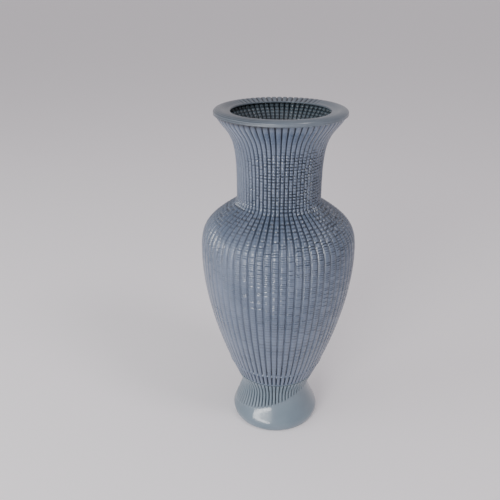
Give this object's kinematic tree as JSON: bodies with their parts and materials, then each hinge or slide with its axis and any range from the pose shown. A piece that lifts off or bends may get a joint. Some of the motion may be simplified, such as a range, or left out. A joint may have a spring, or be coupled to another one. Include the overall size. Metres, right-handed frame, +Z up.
{
  "type": "ribbed vase",
  "caption": "Slender vase of printed plastic with a smooth round foot, a tight waist, a belly with narrow upright ribs, a straight neck and a flared mouth with a broad smooth rim.",
  "frame": {"origin": "centre of the flat underside of the foot", "axes": "+Z up along the vase's axis, towards the mouth; the lower ribs end lowest towards -X"},
  "size_m": [0.114, 0.114, 0.25],
  "materials": {
    "blue_grey_plastic": "satin printed plastic with fine level lines",
    "smooth_plastic": "the same plastic, smooth and glossier, on the foot and the lip"
  },
  "bodies": {
    "root": {"foot": "smooth_plastic", "belly_wall": "blue_grey_plastic", "shoulder_wall": "blue_grey_plastic", "neck_wall": "blue_grey_plastic", "lip": "smooth_plastic", "outer_ribs": "blue_grey_plastic", "lower_ribs": "blue_grey_plastic", "inner_ribs": "blue_grey_plastic"}
  },
  "joints": []
}
